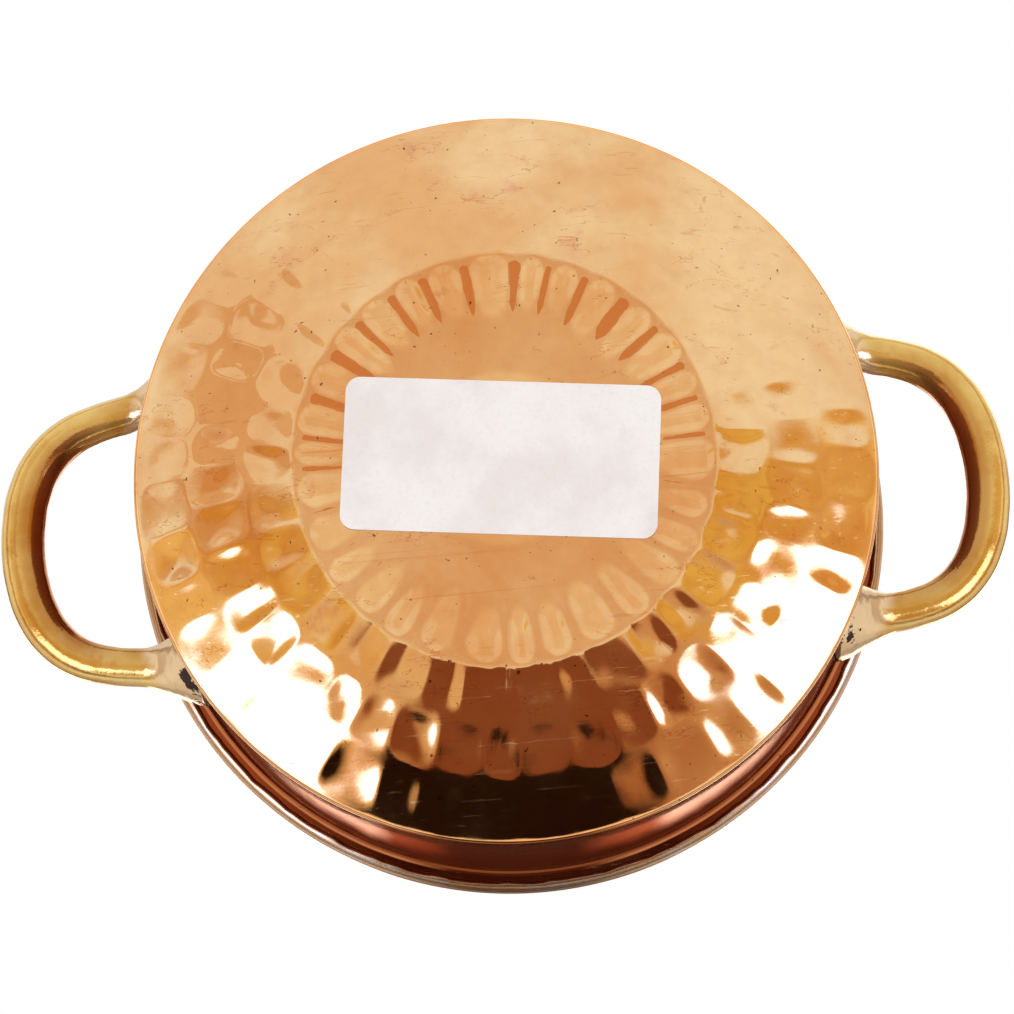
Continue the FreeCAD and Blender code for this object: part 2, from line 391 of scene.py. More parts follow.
def hammerWall(co, r, turn, onWall, chance, hollow):
    # every cell of a row sinks to a near flat facet with its own small tilt
    seams, drifts = hammer["seams"], hammer["seamDrift"]
    rowsOfMarks = zip(seams, seams[1:], drifts, drifts[1:], hammer["marks"], hammer["phase"])
    for inner, outer, innerDrift, outerDrift, count, phase in rowsOfMarks:
        low = inner + innerDrift * wander(turn, hammer["seamWaves"], inner)
        high = outer + outerDrift * wander(turn, hammer["seamWaves"], outer)
        row = onWall & (r > low) & (r < high)
        place = turn[row] * count + phase + hammer["drift"] * wander(turn[row], hammer["driftWaves"], inner)
        out = (r[row] - (inner + outer) / 2) / (outer - inner)
        place = (place + hammer["skew"] * out * wander(turn[row], hammer["skewWaves"], outer)) % count
        cell = place.astype(int) % count
        u = (place % 1) * 2 - 1
        v = (r[row] - low[row]) / (high[row] - low[row]) * 2 - 1
        tiltU, tiltV = chance.uniform(-1, 1, (2, count)) * math.radians(hammer["uneven"])
        deep = 1 + chance.uniform(-1, 1, count) * hammer["unlike"]
        width, height = math.pi * r[row] / count, (outer - inner) / 2
        across = (np.abs(u) ** 3 + np.abs(v) ** 3) ** (1 / 3)
        bowl = np.clip(1 - across ** 2.4, 0, 1)
        soft = np.clip(1 - across ** 2, 0, 1) ** 2
        lean = (np.tan(tiltU[cell]) * u * width + np.tan(tiltV[cell]) * v * height) * soft
        sink(co, row, r, hammer["depth"] * deep[cell] * (0.45 * bowl + 0.55 * soft) + lean)
        hollow[row] = np.clip(bowl * 1.8, 0, 1)


def pressPetals(co, r, turn, onBase, chance, hollow):
    place = petalPlace(turn[onBase])
    cell = place.astype(int) % petal["count"]
    u = (place % 1) * 2 - 1
    toEnd, toStart, inDepth = chance.uniform(-1, 1, (3, petal["count"]))
    endUneven, startUneven, depthUneven = petal["uneven"]
    end = petal["to"] + endUneven * toEnd[cell] - petal["rounded"] * np.abs(u) ** 2.4
    far = np.clip((end - r[onBase]) / petal["farFade"], 0, 1)
    near = np.clip((r[onBase] - petal["from"] - startUneven * toStart[cell]) / petal["nearFade"], 0, 1)
    lobe = (np.cos(np.pi * u) * 0.5 + 0.5) ** 0.9 * (ease(far) * ease(near))
    co[onBase, 2] += lobe * petal["depth"] * (1 + depthUneven * inDepth[cell])
    hollow[onBase] = np.clip(lobe * 1.5, 0, 1)
    return np.abs(u) ** 2.5 * grow(r[onBase], *petal["grooveIn"]) * grow(r[onBase], *petal["grooveOut"])


def drawCorner(co, r, turn, surface):
    # the corner of the base is scalloped, because it is drawn in between two petals
    past = r - sheet["base"] - petal["cornerAt"]
    reach = np.where(past < 0, petal["cornerIn"], petal["cornerOut"])
    corner = (np.abs(co[:, 2] - np.maximum(surface, 0)) < 0.65) & (np.abs(past) < reach)
    fade = (1 - (past[corner] / reach[corner]) ** 2) ** 2
    between = np.abs(petalPlace(turn[corner]) % 1 * 2 - 1)
    co[corner, 2] += fade * (petal["drawnIn"] * between ** 2.2 + petal["corner"])


def makeCopper():
    copper = spun("copper_sheet", copperSection(), hammer["steps"])
    co = getPoints(copper)
    r = np.hypot(co[:, 0], co[:, 1])
    turn = np.arctan2(co[:, 1], co[:, 0]) / (2 * math.pi) % 1
    hollow, groove = np.zeros(len(co)), np.zeros(len(co))
    chance = np.random.default_rng(hammer["seed"])
    surface = wallHeight(r)
    onWall = np.abs(co[:, 2] - surface) < 0.05
    hammerWall(co, r, turn, onWall, chance, hollow)

    # the sheet is a little wavy all over
    first, last = hammer["seams"][0], hammer["seams"][-1]
    angle = 2 * math.pi * turn
    ripple = sum(np.sin(angle * pitch + r * lean + late) for pitch, lean, late in hammer["ripples"]) / 3
    onSheet = onWall & (r > first + 1) & (r < last)
    calm = grow(r[onSheet], first + 1, first + 4) * grow(r[onSheet], last, last - 1.5)
    sink(co, onSheet, r, hammer["wave"] * ripple[onSheet] * calm)

    onBase = (co[:, 2] < sheet["lift"] + 0.05) & (r > petal["inner"]) & (r < petal["outer"])
    groove[onBase] = pressPetals(co, r, turn, onBase, chance, hollow)
    calm = grow(r[onBase], *petal["calmIn"]) * grow(r[onBase], *petal["calmOut"])
    co[onBase, 2] += hammer["wave"] * calm * (1 + ripple[onBase]) / 2
    drawCorner(co, r, turn, surface)
    movePoints(copper, co)

    # zone: 1 on the hammered wall, a half on the base, 0 elsewhere
    zone = np.where(onWall & (r > first) & (r < last), 1.0, np.where(onBase, 0.5, 0.0))
    paintPoints(copper, "hollow", hollow)
    paintPoints(copper, "zone", zone)
    paintPoints(copper, "groove", groove)
    return copper


def copperMaterial():
    material, tree, shader = newMaterial("hammeredCopper")
    colours = shades(hammer)
    place = objectPlace(tree)
    xyz = parts(tree, place)
    hollow, zone, trench = (painted(tree, name) for name in ("hollow", "zone", "groove"))
    cloud = noise(tree, place, 34, 4, 0.55)
    fine = noise(tree, place, 260, 4, 0.6)
    blot = noise(tree, place, 75, 5, 0.65)
    tone = blend(tree, band(tree, cloud, 0.38, 0.64), colours["warm"], colours["pale"])
    tone = blend(tree, band(tree, blot, 0.62, 0.74, 0, 0.55), tone, colours["pink"])
    tone = blend(tree, band(tree, blot, 0.36, 0.27, 0, 0.5), tone, colours["deep"])
    # painted shade: the grooves between the petals are darker
    onBase = times(tree, band(tree, zone, 0.3, 0.5), band(tree, zone, 0.7, 0.5))
    groove = times(tree, onBase, band(tree, hollow, 0.55, 0.1, 0, 0.3))
    tone = blend(tree, groove, tone, colours["groove"])
    # painted reflection: darker orange patches with a clear border in some of the grooves, where the polished
    # hollows would reflect the room
    stainAndReflection = noise(tree, place, 120, 4, 0.6)
    stainAndReflection = plus(tree, times(tree, stainAndReflection, 0.55), times(tree, trench, 0.62))
    stainAndReflection = plus(tree, stainAndReflection, band(tree, xyz["Y"], -0.012, 0.012, 0.12, -0.2))
    tone = blend(tree, band(tree, stainAndReflection, 0.72, 0.735, 0, 0.85), tone, colours["grooveReflection"])
    # the neck is redder, and dark specks and scratches lie all over
    neck = band(tree, xyz["Z"], *hammer["neckRed"], 0, 0.85)
    tone = blend(tree, neck, tone, colours["neck"])
    speck = noise(tree, place, 900, 2, 0.5)
    tone = blend(tree, band(tree, speck, 0.715, 0.76, 0, 0.75), tone, colours["soot"])
    scratch = noise(tree, stretch(tree, place, (12, 900, 900), (0, 0, 0.1)), 1.0, 2, 0.5)
    tone = blend(tree, band(tree, scratch, 0.66, 0.74, 0, 0.28), tone, colours["deep"])
    # hair cracks
    hair = noise(tree, stretch(tree, place, (40, 110, 110), (0, 0, -0.15)), 1.0, 5, 0.62)
    hair = band(tree, awayFrom(tree, hair, 0.5), 0.006, 0.002)
    hair = times(tree, hair, band(tree, blot, 0.5, 0.6, 0, 0.55))
    tone = blend(tree, hair, tone, colours["deep"])
    tone = blend(tree, band(tree, fine, 0.35, 0.7, 0, 0.16), tone, colours["groove"])
    # threads rubbed by a cloth are matt, so they show pale in dark reflections
    thread = noise(tree, stretch(tree, place, (22, 1500, 1500), (0, 0, 0.03)), 1.0, 2, 0.5)
    thread = times(tree, band(tree, thread, 0.66, 0.7), band(tree, cloud, 0.4, 0.55, 0.2, 1))
    rough = plus(tree, band(tree, cloud, 0.3, 0.7, 0.045, 0.1), band(tree, fine, 0.45, 0.75, 0, 0.05),
                 times(tree, thread, 0.14))
    join(tree, (tone, shader.inputs["Base Color"]), (rough, shader.inputs["Roughness"]))
    shader.inputs["Metallic"].default_value = 1.0
    bumpy(tree, shader, plus(tree, times(tree, fine, 0.25), times(tree, scratch, 0.15)), 0.3, 0.0001)
    return material


copper = makeCopper()
copper.data.materials.append(copperMaterial())
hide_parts("copper_body")
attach(copper, "root")
print("copper sheet", len(copper.data.polygons), "faces")


# steel lining
steel = {
    "steps": 256, "fold": ((-0.02, 0.25), (0.03, 0.45)),   # bumps of the hem's cut edge
    "tuck": 0.12, "press": 0.04,
    "ragged": 0.16, "waves": ((1.6, 37), (2, 61), (2.6, 103), (3.2, 7)),
    "tanHeights": (0.046, 0.0466, 0.0478, 0.0487), "tanReach": (0.0622, 0.0626),   # in metres
    "look": {
        "dark": (196, 194, 190), "pale": (222, 221, 218), "line": (170, 168, 165), "hem": (206, 174, 134),
    },
}


def steelSection():
    outer = sheet["copper"] + sheet["gap"]
    inner = outer + sheet["steel"]
    pocket = sheet["copper"] / 2 + sheet["gap"]
    low, high = sheet["lift"] + outer, sheet["lift"] + inner
    corner, back = sheet["linerCorner"], -sheet["hem"]
    outside = sideLine(outer, corner, (wallReach(low, outer), low), 8, 3, 14, 2)
    inside = sideLine(inner, corner, (wallReach(high, inner), high), 24, 5, 28, 3)
    lipTip, underLip = shift(bead, pocket, 0), shift(bead, 0, pocket)
    pocketLine = arc(bead, outside[-1], lipTip, 3) + arc(bead, lipTip, underLip, 3)
    hemTop = shift(bead, back, pocket)
    hemLow = shift(bead, back + steel["tuck"], beadRadius - steel["press"])
    underBead = shift(bead, 0, beadRadius)
    rolled = arc(bead, underBead, shift(bead, beadRadius, 0), 8)
    rolled += arc(bead, rolled[-1], inside[-1], 8)
    section = [(0, low)] + outside + pocketLine + line(pocketLine[-1], hemTop, 2)
    section += [shift(hemTop, along, out) for along, out in steel["fold"]]
    section += [hemLow] + line(hemLow, underBead, 2)
    return section + rolled + inside[-2::-1] + [(0, high)]


def makeSteel():
    lining = spun("steel_lining", steelSection(), steel["steps"])
    # ragged hem edge under the lip
    co = getPoints(lining)
    r = np.hypot(co[:, 0], co[:, 1])
    along = (r - bead[0]) * lipUnit[0] + (co[:, 2] - bead[1]) * lipUnit[1]
    out = (r - bead[0]) * lipOut[0] + (co[:, 2] - bead[1]) * lipOut[1]
    pocket = sheet["copper"] / 2 + sheet["gap"]
    hem = (out > pocket - 0.02) & (along < -sheet["hem"] * 0.8)
    turn = np.arctan2(co[hem, 1], co[hem, 0])
    push = sum(np.sin(turn * k + k) / n for n, k in steel["waves"]) * steel["ragged"]
    co[hem, :2] *= (1 + push / r[hem] * lipUnit[0])[:, None]
    co[hem, 2] += push * lipUnit[1]
    movePoints(lining, co)
    return lining


def steelMaterial():
    material, tree, shader = newMaterial("satinSteel")
    colours = shades(steel)
    place = objectPlace(tree)
    height = parts(tree, place)["Z"]
    length = node(tree, "ShaderNodeVectorMath", operation="LENGTH")
    join(tree, (stretch(tree, place, (1, 1, 0)), length.inputs[0]))
    reach = length.outputs["Value"]
    # spun lines run round the pot: noise over radius and height only
    rings = node(tree, "ShaderNodeCombineXYZ")
    join(tree, (reach, rings.inputs[0]), (height, rings.inputs[2]))
    lines = noise(tree, rings.outputs[0], 2600, 3, 0.6)
    cloud = noise(tree, place, 45, 4, 0.55)
    tone = blend(tree, band(tree, cloud, 0.35, 0.65), colours["dark"], colours["pale"])
    tone = blend(tree, band(tree, lines, 0.4, 0.7, 0, 0.25), tone, colours["line"])
    # the hem under the lip keeps a tan stain next to the copper
    stainAndReflection = noise(tree, place, 150, 4, 0.65)
    low, lowEnd, high, highEnd = steel["tanHeights"]
    hem = times(tree, band(tree, height, highEnd, high), band(tree, height, low, lowEnd),
                band(tree, reach, *steel["tanReach"]))
    tan = times(tree, hem, band(tree, stainAndReflection, 0.35, 0.6, 0.5, 1.0))
    tone = blend(tree, tan, tone, colours["hem"])
    join(tree, (tone, shader.inputs["Base Color"]),
         (band(tree, lines, 0.3, 0.7, 0.2, 0.34), shader.inputs["Roughness"]))
    shader.inputs["Metallic"].default_value = 1.0
    bumpy(tree, shader, lines, 0.25, 0.00005)
    return material


lining = makeSteel()
lining.data.materials.append(steelMaterial())
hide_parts("steel_liner")
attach(lining, "root")
print("steel lining", len(lining.data.polygons), "faces")


# cast brass loops
loop = {
    "reach": 85.2, "height": 35.0, "rise": 9.0, "grip": (7.5, 6.8), "leg": 6.5,
    "bow": 32.0, "half": 10.4, "corner": 16.0, "splay": 10.0,
    "longer": {1: 0.0, -1: 1.7}, "aside": {1: 1.5, -1: 0.0}, "wider": {1: 1.03, -1: 1.0},
    # how much wider a leg is, by the distance that is left to the neck
    "flare": ((9.0, 0.1), (7.0, 0.8), (5.2, 2.0), (3.4, 3.5), (1.8, 4.9), (0.2, 6.3), (-2.2, 7.6)),
    "spread": 8.5, "sag": 2.6, "deeper": 0.16,   # the feet reach further down the neck than up
    "askew": 1.8, "seat": 0.35,
    "sides": 6, "smooth": 14, "neckSteps": 192,
    "middle": (67.0, 37.0), "crust": 10.0, "legFrom": 78.0, "legTo": 68.0,
    "metal": (0.8, 0.5),                     # of the grip and of the legs
    "look": {
        # rubbed is the painted highlight of the outer side, brown the painted shade of the inner side
        "gold": (204, 152, 66), "pale": (228, 192, 112), "outerHighlight": (240, 222, 160), "innerShade": (150, 66, 24),
        "foot": (232, 208, 172), "red": (186, 112, 62), "crust": (48, 28, 18),
    },
}


def loopStations(side):
    # points of half the middle line with the bar's width, from the crown to inside the neck
    width = loop["grip"][0]
    bowX = loop["reach"] + loop["longer"][side] - width / 2 - loop["bow"]
    bowTurn = math.asin(loop["half"] / loop["bow"])
    legTurn = math.radians(90 - loop["splay"])
    made = [(bowX + loop["bow"] * math.cos(t), loop["bow"] * math.sin(t), width)
            for t in (0, bowTurn * 0.55, bowTurn)]
    inner = loop["bow"] - loop["corner"]
    cornerX, cornerY = bowX + inner * math.cos(bowTurn), inner * math.sin(bowTurn)
    for share in (0.33, 0.67, 1):
        t = bowTurn + (legTurn - bowTurn) * share
        made.append((cornerX + loop["corner"] * math.cos(t), cornerY + loop["corner"] * math.sin(t),
                     width + (loop["leg"] - width) * share))
    x, y, _ = made[-1]
    step = (-math.sin(legTurn), math.cos(legTurn))
    length = (x - math.sqrt(sheet["waist"][0] ** 2 - y ** 2)) / math.sin(legTurn)
    return made + [(x + step[0] * (length - back), y + step[1] * (length - back), loop["leg"] + wider)
                   for back, wider in loop["flare"]]


def drawBar(name, stations):
    bpy.ops.object.select_all(action="DESELECT")
    bpy.ops.curve.primitive_bezier_curve_add(location=(0, 0, 0))
    bar = bpy.context.object
    bar.name = name
    bar.data.dimensions = "3D"
    spline = bar.data.splines[0]
    spline.bezier_points.add(len(stations) - 2)
    spline.resolution_u = loop["smooth"]
    spline.radius_interpolation = "BSPLINE"
    bar.data.bevel_depth = 0.5 * mm
    bar.data.bevel_resolution = loop["sides"]
    bar.data.use_fill_caps = True
    for knot, (x, y, width) in zip(spline.bezier_points, stations):
        knot.co = (x * mm, y * mm, 0)
        knot.handle_left_type = knot.handle_right_type = "AUTO"
        knot.radius = width
    onlySelect(bar)
    bpy.ops.object.convert(target="MESH")
    return bar


def spreadOut(co):
    # 0 along the bar, growing to 1 where the foot meets the neck
    start = sheet["waist"][0] + loop["spread"]
    return np.clip((start - np.hypot(co[:, 0], co[:, 1])) / loop["spread"], 0, 1)


def turned(x, y, angle, middle=(0, 0)):
    return (middle[0] + x * math.cos(angle) - y * math.sin(angle),
            middle[1] + x * math.sin(angle) + y * math.cos(angle))


def setBar(bar, side):
    co = getPoints(bar)
    co[:, 2] *= loop["grip"][1] / loop["grip"][0]
    spread = spreadOut(co) ** 1.5
    co[:, 2] = co[:, 2] * (1 + loop["deeper"] * spread) - loop["sag"] * spread
    # lean it up to the mouth, set it at its height
    pivot = sheet["waist"][0]
    lean = math.radians(loop["rise"])
    co[:, 0], co[:, 2] = turned(co[:, 0] - pivot, co[:, 2], lean, (pivot, loop["height"]))
    # brazed on by hand: one loop sits a little round the pot and a little wider
    co[:, 1] *= loop["wider"][side]
    co[:, 0], co[:, 1] = turned(co[:, 0], co[:, 1], math.radians(loop["aside"][side]))
    co[:, :2] *= side
    co[:, 1] -= loop["askew"] * spreadOut(co) ** 1.2
    movePoints(bar, co)


def cutFeet(bar):
    inset, low = loop["seat"], 4
    form = sideLine(inset, inset, (wallReach(low, inset), low), 3, 0, 24, 1)
    cutter = spun("cutter", [(0, low)] + form + [(0, form[-1][1])], loop["neckSteps"])
    onlySelect(bar)
    cut = bar.modifiers.new("neck", "BOOLEAN")
    cut.operation = "DIFFERENCE"
    cut.solver = "EXACT"
    cut.object = cutter
    bpy.ops.object.modifier_apply(modifier=cut.name)
    bpy.data.objects.remove(cutter)
    onlySelect(bar)
    bpy.ops.object.shade_smooth_by_angle(angle=math.radians(50))


def paintBar(bar, side):
    co = getPoints(bar)
    r = np.hypot(co[:, 0], co[:, 1])
    paintPoints(bar, "foot", np.clip(1 - (r - neckReach(co[:, 2])) / loop["crust"], 0, 1))
    # how far each bit of the bar faces the middle of the loop: the material paints shade where it does and a
    # highlight where it faces away
    facing = np.empty(len(co) * 3)
    bar.data.vertex_normals.foreach_get("vector", facing)
    inward = np.array((side * loop["middle"][0], 0, loop["middle"][1])) - co
    inward /= np.linalg.norm(inward, axis=1)[:, None]
    paintPoints(bar, "inside", (facing.reshape(-1, 3) * inward).sum(1))
    paintPoints(bar, "leg", grow(r, loop["legFrom"], loop["legTo"]))


def makeLoop(name, side):
    half = loopStations(side)
    bar = drawBar(name, half[::-1] + [(x, -y, w) for x, y, w in half[1:]])
    setBar(bar, side)
    cutFeet(bar)
    paintBar(bar, side)
    return bar


def brassMaterial():
    material, tree, shader = newMaterial("castBrass")
    colours = shades(loop)
    place = objectPlace(tree)
    foot, inside, leg = (painted(tree, name) for name in ("foot", "inside", "leg"))
    cloud = noise(tree, place, 60, 4, 0.6)
    fine = noise(tree, place, 420, 4, 0.6)
    soot = noise(tree, place, 170, 5, 0.7)
    tone = blend(tree, band(tree, cloud, 0.36, 0.66), colours["gold"], colours["pale"])
    # painted highlight: the outer side is pale; painted shade: the inner side, which faces the pot and would
    # reflect its dark neck, is brown
    tone = blend(tree, band(tree, inside, -0.5, -0.9, 0, 0.5), tone, colours["outerHighlight"])
    innerShade = times(tree, band(tree, inside, -0.6, 0.8, 0, 0.85), band(tree, leg, 0.0, 1.0, 1.0, 0.15))
    tone = blend(tree, innerShade, tone, colours["innerShade"])
    tone = blend(tree, band(tree, foot, 0.05, 0.3, 0, 0.75), tone, colours["foot"])
    tone = blend(tree, band(tree, soot, 0.6, 0.72, 0, 0.5), tone, colours["red"])
    # burnt crust where the casting is brazed on
    burnt = plus(tree, times(tree, maths(tree, "MINIMUM", foot, 0.6), 0.75), soot)
    burnt = band(tree, burnt, 0.965, 0.995)
    tone = blend(tree, burnt, tone, colours["crust"])
    # painted highlight: the legs are duller, less metallic than the grip, so more of their pale colour shows
    # and their undersides come out brighter
    metal = band(tree, leg, 0.1, 0.9, *loop["metal"])
    rough = plus(tree, band(tree, fine, 0.3, 0.7, 0.09, 0.17), times(tree, burnt, 0.4))
    join(tree, (tone, shader.inputs["Base Color"]), (metal, shader.inputs["Metallic"]),
         (rough, shader.inputs["Roughness"]))
    grain = plus(tree, times(tree, fine, 0.5), times(tree, burnt, times(tree, soot, 3.0)))
    bumpy(tree, shader, grain, 0.5, 0.00025)
    return material


brass = brassMaterial()
for name, nodeName, side in (("brass_loop_right", "handle_right", 1), ("brass_loop_left", "handle_left", -1)):
    bar = makeLoop(name, side)
    bar.data.materials.clear()
    bar.data.materials.append(brass)
    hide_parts(nodeName)
    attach(bar, "root")
    print(name, len(bar.data.polygons), "faces")


# paper label
paper = {
    "size": (50.8, 25.2), "corner": 2.4, "cornerSteps": 8, "thick": 0.12, "top": 0.29,
    "turn": 7.1, "aside": -0.5, "rough": 0.55,
    "look": {"dull": (236, 226, 222), "clean": (246, 240, 237), "fibre": (214, 210, 205)},
}


def makeLabel():
    bpy.ops.object.select_all(action="DESELECT")
    length, width = paper["size"]
    middle = paper["top"] - paper["thick"] / 2
    bpy.ops.mesh.primitive_cube_add(size=1, location=(paper["aside"] * mm, 0, middle * mm),
                                    scale=(length * mm, width * mm, paper["thick"] * mm))
    label = bpy.context.object
    label.name = "paper_sticker"
    bpy.ops.object.transform_apply(location=True, rotation=True, scale=True)
    bpy.ops.object.mode_set(mode="EDIT")
    bpy.ops.mesh.select_all(action="DESELECT")
    bpy.ops.mesh.select_mode(type="EDGE")
    bpy.ops.object.mode_set(mode="OBJECT")
    # only the four upright edges are rounded
    for edge in label.data.edges:
        a, b = (label.data.vertices[i].co for i in edge.vertices)
        edge.select = abs(a.z - b.z) > 0.05 * mm
    bpy.ops.object.mode_set(mode="EDIT")
    bpy.ops.mesh.bevel(offset=paper["corner"] * mm, segments=paper["cornerSteps"], profile=0.5)
    bpy.ops.mesh.select_all(action="SELECT")
    bpy.ops.transform.rotate(value=-math.radians(paper["turn"]), orient_axis="Z",
                             center_override=(0, 0, 0))
    bpy.ops.object.mode_set(mode="OBJECT")
    return label


def paperMaterial():
    material, tree, shader = newMaterial("plainPaper")
    colours = shades(paper)
    place = objectPlace(tree)
    cloud = noise(tree, place, 60, 4, 0.6)
    fibre = noise(tree, place, 1500, 3, 0.6)
    tone = blend(tree, band(tree, cloud, 0.35, 0.65), colours["dull"], colours["clean"])
    tone = blend(tree, band(tree, fibre, 0.5, 0.7, 0, 0.2), tone, colours["fibre"])
    join(tree, (tone, shader.inputs["Base Color"]))
    shader.inputs["Roughness"].default_value = paper["rough"]
    crease = noise(tree, stretch(tree, place, (30, 120, 30)), 1.0, 2, 0.5)
    bumpy(tree, shader, plus(tree, crease, times(tree, fibre, 0.15)), 0.2, 0.0003)
    return material


label = makeLabel()
label.data.materials.append(paperMaterial())
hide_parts("paper_label")
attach(label, "root")
print("label done")


# floor, studio and camera
pale, cream, gold = (1, 1, 1), (1, 0.98, 0.95), (0.86, 0.6, 0.17)
black, clay, amber = (0.018, 0.006, 0.003), (0.27, 0.09, 0.04), (0.9, 0.66, 0.4)
sand, sun, skin = (0.75, 0.55, 0.35), (0.9, 0.8, 0.6), (1, 0.9, 0.8)
rust, ember, wine = (0.6, 0.36, 0.2), (0.5, 0.3, 0.2), (0.25, 0.1, 0.06)
brick, coal, none = (0.2, 0.06, 0.035), (0.05, 0.018, 0.012), (0, 0, 0)
studio = {
    "floor": (0.93, 0.92, 0.91, 1), "floorSize": 4, "floorRough": 0.9, "floorHeight": -0.0002,
    "fill": (1.0, 1.0, 1.0, 1),
    "toCamera": (0.0, 0.235, -0.972),        # from the pot to the photographer
    "wobble": 0.06,                          # borders in the room are never straight
    "boxes": (2.2, 3.2, 6.0, 1),             # strength of the two lamps that the metal sees
    "boxSlopes": (22, 24, 36, 39),
    "waist": (2.3, 2.3, 2.2, 1),
    "twice": (0.4, 0.24, 0.18, 1),           # metal seen in other metal is darker and redder
    # what the room shows, by the angle that metal faces: clockwise from the right loop, seen from below
    "room": {
        "middle": ((-180, cream), (-90, pale), (-25, cream), (1, cream), (3, gold), (38, gold), (48, sand),
                   (60, (0.7, 0.4, 0.22)), (66, clay), (110, clay), (114, rust), (120, (0.85, 0.66, 0.45)),
                   (142, (0.9, 0.66, 0.34)), (148, gold), (170, gold), (174, cream), (180, cream)),
        "outer": ((-180, pale), (-90, pale), (-4, pale), (0, (0.95, 0.7, 0.28)), (50, (0.9, 0.68, 0.36)),
                  (60, (0.62, 0.36, 0.2)), (70, (0.5, 0.24, 0.12)), (74, black), (117, black), (121, amber),
                  (155, (0.95, 0.7, 0.32)), (169, (0.95, 0.66, 0.26)), (172, pale), (180, pale)),
        "boxes": ((-180, none), (20, none), (23, pale), (50, pale), (54, none),
                  (122, none), (125, pale), (152, pale), (156, none), (180, none)),
        "lip": ((-180, (0.6, 0.4, 0.2)), (-90, (0.8, 0.7, 0.5)), (-5, (0.6, 0.4, 0.2)),
                (10, (0.55, 0.3, 0.2)), (40, (0.5, 0.25, 0.15)), (70, (0.06, 0.02, 0.012)),
                (115, (0.06, 0.02, 0.012)), (140, (0.5, 0.25, 0.15)), (172, (0.55, 0.3, 0.2)),
                (180, (0.6, 0.4, 0.2))),
        "bright": ((-180, skin), (74, skin), (83, (0.12, 0.05, 0.03)), (105, (0.12, 0.05, 0.03)),
                   (112, skin), (180, skin)),
        "under": ((-180, sand), (-90, pale), (0, sand), (30, (0.8, 0.65, 0.5)), (70, (0.45, 0.28, 0.18)),
                  (110, (0.45, 0.28, 0.18)), (150, (0.8, 0.65, 0.5)), (180, sand)),
        "fold": ((-180, sun), (-8, sun), (6, wine), (60, brick), (80, (0.1, 0.035, 0.02)),
                 (101, (0.1, 0.035, 0.02)), (120, brick), (174, wine), (180, sun)),
        "waist": ((-180, pale), (-8, pale), (4, ember), (22, (1.0, 0.8, 0.7)), (36, pale),
                  (68, (1, 0.9, 0.85)), (71, (0.42, 0.17, 0.1)), (77, (0.28, 0.1, 0.055)), (84, coal),
                  (104, coal), (109, (0.2, 0.06, 0.03)), (114, (0.3, 0.1, 0.06)), (118, (1, 0.9, 0.85)),
                  (146, pale), (160, (1.0, 0.8, 0.7)), (176, ember), (180, pale)),
    },
    "lamp": {"place": (0.35, -0.45, 0.9), "away": (0.35, -0.45, 0.86), "size": 0.8, "power": 1.6},
    # fitted to the photo: metres, degrees and millimetres
    "camera": {"place": (0.0019984, 0.1494248, -0.6165994), "turn": (-167.1681, -1.3374, 4.9496),
               "sensor": 36, "lens": 140.62, "near": 0.01},
}


def makeFloor():
    bpy.ops.object.select_all(action="DESELECT")
    bpy.ops.mesh.primitive_plane_add(size=studio["floorSize"], location=(0, 0, studio["floorHeight"]))
    floor = bpy.context.object
    floor.name = "floor"
    material, tree, shader = newMaterial("paleFloor")
    shader.inputs["Base Color"].default_value = studio["floor"]
    shader.inputs["Roughness"].default_value = studio["floorRough"]
    # seen only from above: from below it lets the camera and the light through
    clear = node(tree, "ShaderNodeBsdfTransparent")
    mixed = node(tree, "ShaderNodeMixShader")
    below = node(tree, "ShaderNodeNewGeometry").outputs["Backfacing"]
    output = tree.nodes["Material Output"]
    join(tree, (below, mixed.inputs[0]), (shader.outputs[0], mixed.inputs[1]),
         (clear.outputs[0], mixed.inputs[2]), (mixed.outputs[0], output.inputs["Surface"]))
    floor.data.materials.append(material)
    floor.visible_glossy = False
    floor.visible_diffuse = False
    floor.visible_transmission = False
    floor.visible_shadow = False


def ramp(tree, value, stops):
    made = node(tree, "ShaderNodeValToRGB")
    join(tree, (value, made.inputs["Fac"]))
    elements = made.color_ramp.elements
    while len(elements) < len(stops):
        elements.new(0.5)
    for element, (angle, colour) in zip(elements, stops):
        element.position = (angle + 180) / 360
        element.color = tuple(colour) + (1,)
    return made.outputs["Color"]


def facingOf(tree):
    # how a bit of surface faces, from the way that its reflection goes, with a little noise
    way = node(tree, "ShaderNodeTexCoord").outputs["Generated"]
    both = node(tree, "ShaderNodeVectorMath", operation="ADD")
    both.inputs[1].default_value = studio["toCamera"]
    straight = node(tree, "ShaderNodeVectorMath", operation="NORMALIZE")
    wobble = node(tree, "ShaderNodeTexNoise", {"Scale": 9.0, "Detail": 3.0, "Roughness": 0.6})
    push = node(tree, "ShaderNodeVectorMath", operation="MULTIPLY_ADD")
    push.inputs[1].default_value = (studio["wobble"],) * 3
    bent = node(tree, "ShaderNodeVectorMath", operation="SUBTRACT")
    bent.inputs[1].default_value = (studio["wobble"] / 2,) * 3
    join(tree, (way, both.inputs[0]), (both.outputs[0], straight.inputs[0]),
         (straight.outputs[0], wobble.inputs["Vector"]), (wobble.outputs["Color"], push.inputs[0]),
         (straight.outputs[0], push.inputs[2]), (push.outputs[0], bent.inputs[0]))
    return straight.outputs[0], bent.outputs[0]


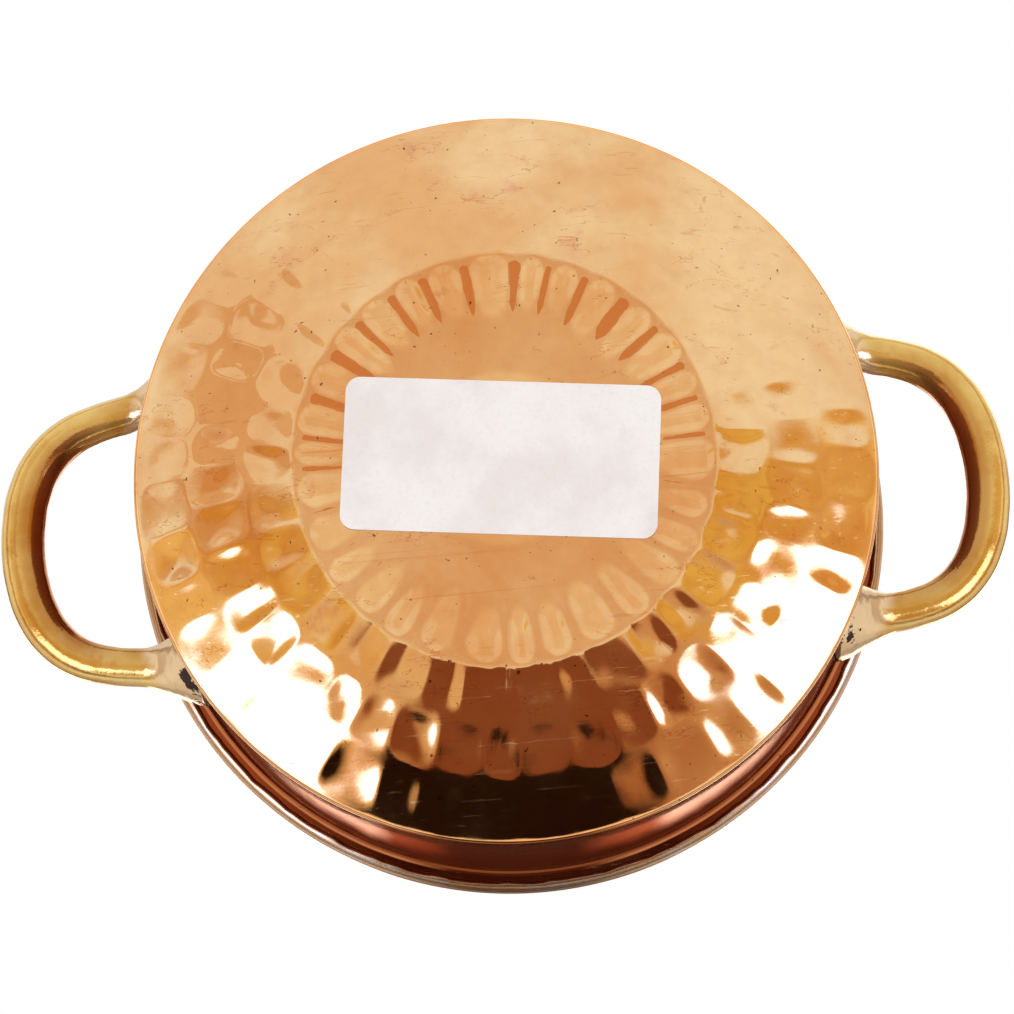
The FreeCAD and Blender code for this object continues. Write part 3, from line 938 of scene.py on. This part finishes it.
def makeStudio():
    # the room as the metal sees it, for each way that a bit of surface faces
    world = bpy.data.worlds.new("studio")
    bpy.context.scene.world = world
    world.use_nodes = True
    tree = world.node_tree
    tree.nodes.clear()
    straight, bent = facingOf(tree)
    xyz = parts(tree, bent)
    angle = maths(tree, "ARCTAN2", xyz["Y"], xyz["X"])
    angle = band(tree, angle, -math.pi, math.pi, 0, 1, smooth=False)
    slope = maths(tree, "ARCCOSINE", times(tree, xyz["Z"], -1.0))
    shown = {name: ramp(tree, angle, stops) for name, stops in studio["room"].items()}

    def sloped(start, end, bottom=0.0, top=1.0):
        return band(tree, slope, math.radians(start), math.radians(end), bottom, top)

    tone = blend(tree, sloped(3, 9), (0.93, 0.76, 0.58, 1), (0.98, 0.9, 0.8, 1))
    tone = blend(tree, sloped(12, 13.5), tone, shown["middle"])
    tone = blend(tree, sloped(25, 26.5), tone, shown["outer"])
    # things in the room leave patches with clear borders in the polished metal
    patch = noise(tree, straight, 4.2, 3, 0.5)
    left, upper = band(tree, xyz["X"], -0.16, -0.24), band(tree, xyz["Y"], 0.12, 0.0)
    side = times(tree, band(tree, patch, 0.57, 0.58), left, upper, sloped(9, 12), sloped(34, 30))
    tone = blend(tree, side, tone, (0.88, 0.7, 0.52, 1))
    # thin dark borders within the gold
    contour = awayFrom(tree, noise(tree, straight, 7.0, 3, 0.55), 0.5)
    golden = times(tree, band(tree, xyz["Y"], -0.03, 0.03), band(tree, xyz["Y"], 0.22, 0.12),
                   sloped(14, 17), sloped(36, 32))
    border = times(tree, golden, band(tree, contour, 0.014, 0.006, 0, 0.75))
    tone = blend(tree, border, tone, (0.5, 0.2, 0.04, 1))
    stainAndReflection = times(tree, golden, band(tree, patch, 0.5, 0.51, 0, 0.6))
    tone = blend(tree, stainAndReflection, tone, (0.72, 0.36, 0.1, 1))
    # the edge, the lip, the bead and the neck slope more and more
    waist = blend(tree, 1.0, shown["waist"], studio["waist"], "MULTIPLY")
    for start, end, colour in ((36, 37, (1.2, 1.0, 0.8, 1)), (40, 42, shown["lip"]),
                               (46, 49, shown["bright"]), (56, 62, shown["under"]),
                               (68, 70, shown["fold"]), (75, 81, waist), (98, 106, (0.9, 0.85, 0.8, 1))):
        tone = blend(tree, sloped(start, end), tone, colour)
    low, lowEnd, high, highEnd = studio["boxSlopes"]
    inBox = times(tree, sloped(low, lowEnd), sloped(highEnd, high))
    glow = blend(tree, inBox, (0, 0, 0, 1), shown["boxes"])
    glow = blend(tree, 1.0, glow, studio["boxes"], "MULTIPLY")
    lit = blend(tree, 1.0, tone, glow, "ADD")
    again = blend(tree, 1.0, lit, studio["twice"], "MULTIPLY")
    path = node(tree, "ShaderNodeLightPath")
    lit = blend(tree, band(tree, path.outputs["Glossy Depth"], 1.2, 1.8), lit, again)
    seen = blend(tree, path.outputs["Is Glossy Ray"], studio["fill"], lit)
    light = node(tree, "ShaderNodeBackground")
    output = node(tree, "ShaderNodeOutputWorld")
    join(tree, (seen, light.inputs["Color"]), (light.outputs[0], output.inputs["Surface"]))


def makeLamp():
    values = studio["lamp"]
    bpy.ops.object.light_add(type="AREA", location=values["place"])
    lamp = bpy.context.object
    lamp.name = "softLamp"
    lamp.data.size = values["size"]
    lamp.data.energy = values["power"]
    lamp.rotation_euler = Vector(values["away"]).to_track_quat("Z", "Y").to_euler()


def makeCamera():
    values = studio["camera"]
    turn = tuple(math.radians(a) for a in values["turn"])
    bpy.ops.object.camera_add(location=values["place"], rotation=turn)
    camera = bpy.context.object
    camera.name = "camera"
    camera.data.sensor_width = values["sensor"]
    camera.data.lens = values["lens"]
    camera.data.clip_start = values["near"]
    bpy.context.scene.camera = camera


makeFloor()
makeStudio()
makeLamp()
makeCamera()
bpy.context.scene.view_settings.view_transform = "Standard"
print("studio done")
